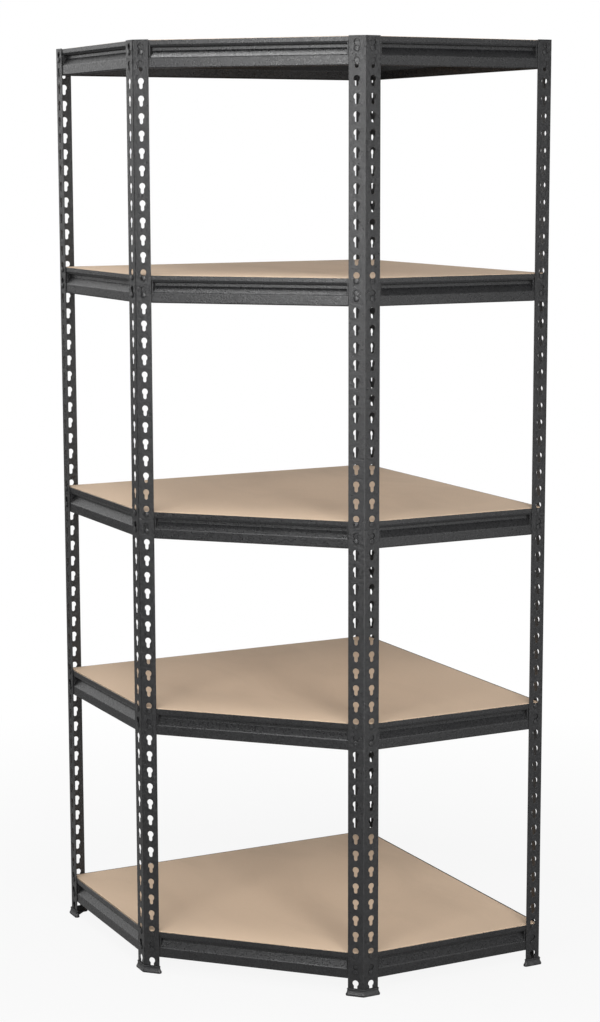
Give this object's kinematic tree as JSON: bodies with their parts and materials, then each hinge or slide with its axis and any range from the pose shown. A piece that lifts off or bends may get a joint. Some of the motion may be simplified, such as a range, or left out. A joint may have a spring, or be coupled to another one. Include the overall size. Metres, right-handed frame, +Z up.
{
  "type": "boltless corner shelving",
  "caption": "Boltless corner shelving: slotted steel angle posts, riveted beams and fibreboard panels on a pentagon plan with plastic feet.",
  "frame": {"origin": "middle of the footprint's bounding square, on the floor", "axes": "+Z up; the back corner between the two walls points to +X +Y, the diagonal front faces -X -Y"},
  "size_m": [0.7164, 0.7164, 1.783],
  "materials": {
    "post_steel": "charcoal powder coat, fine speckled texture, satin",
    "beam_steel": "charcoal powder coat, smooth satin",
    "rivet_steel": "charcoal powder coat",
    "board_fibreboard": "raw fibreboard, matt",
    "foot_plastic": "black moulded plastic, fine grain"
  },
  "bodies": {
    "frame": {"post_left_end_lower": "post_steel", "post_left_end_upper": "post_steel", "post_left_front_lower": "post_steel", "post_left_front_upper": "post_steel", "post_right_front_lower": "post_steel", "post_right_front_upper": "post_steel", "post_right_end_lower": "post_steel", "post_right_end_upper": "post_steel", "post_back_corner_lower": "post_steel", "post_back_corner_upper": "post_steel", "beam_left_end_level_1": "beam_steel", "beam_diagonal_level_1": "beam_steel", "beam_right_end_level_1": "beam_steel", "beam_right_wall_level_1": "beam_steel", "beam_left_wall_level_1": "beam_steel", "beam_left_end_level_2": "beam_steel", "beam_diagonal_level_2": "beam_steel", "beam_right_end_level_2": "beam_steel", "beam_right_wall_level_2": "beam_steel", "beam_left_wall_level_2": "beam_steel", "beam_left_end_level_3": "beam_steel", "beam_diagonal_level_3": "beam_steel", "beam_right_end_level_3": "beam_steel", "beam_right_wall_level_3": "beam_steel", "beam_left_wall_level_3": "beam_steel", "beam_left_end_level_4": "beam_steel", "beam_diagonal_level_4": "beam_steel", "beam_right_end_level_4": "beam_steel", "beam_right_wall_level_4": "beam_steel", "beam_left_wall_level_4": "beam_steel", "beam_left_end_level_5": "beam_steel", "beam_diagonal_level_5": "beam_steel", "beam_right_end_level_5": "beam_steel", "beam_right_wall_level_5": "beam_steel", "beam_left_wall_level_5": "beam_steel", "rivets_level_1": "rivet_steel", "rivets_level_2": "rivet_steel", "rivets_level_3": "rivet_steel", "rivets_level_4": "rivet_steel", "rivets_level_5": "rivet_steel", "foot_left_end": "foot_plastic", "foot_left_front": "foot_plastic", "foot_right_front": "foot_plastic", "foot_right_end": "foot_plastic", "foot_back_corner": "foot_plastic"},
    "board_level_1_body": {"board_level_1": "board_fibreboard"},
    "board_level_2_body": {"board_level_2": "board_fibreboard"},
    "board_level_3_body": {"board_level_3": "board_fibreboard"},
    "board_level_4_body": {"board_level_4": "board_fibreboard"},
    "board_level_5_body": {"board_level_5": "board_fibreboard"}
  },
  "joints": [
    {"name": "lift_board_1", "type": "slide", "parent": "frame", "child": "board_level_1_body", "axis": [0, 0, 1], "range_m": [0, 0.06]},
    {"name": "lift_board_2", "type": "slide", "parent": "frame", "child": "board_level_2_body", "axis": [0, 0, 1], "range_m": [0, 0.06]},
    {"name": "lift_board_3", "type": "slide", "parent": "frame", "child": "board_level_3_body", "axis": [0, 0, 1], "range_m": [0, 0.06]},
    {"name": "lift_board_4", "type": "slide", "parent": "frame", "child": "board_level_4_body", "axis": [0, 0, 1], "range_m": [0, 0.06]},
    {"name": "lift_board_5", "type": "slide", "parent": "frame", "child": "board_level_5_body", "axis": [0, 0, 1], "range_m": [0, 0.06]}
  ]
}
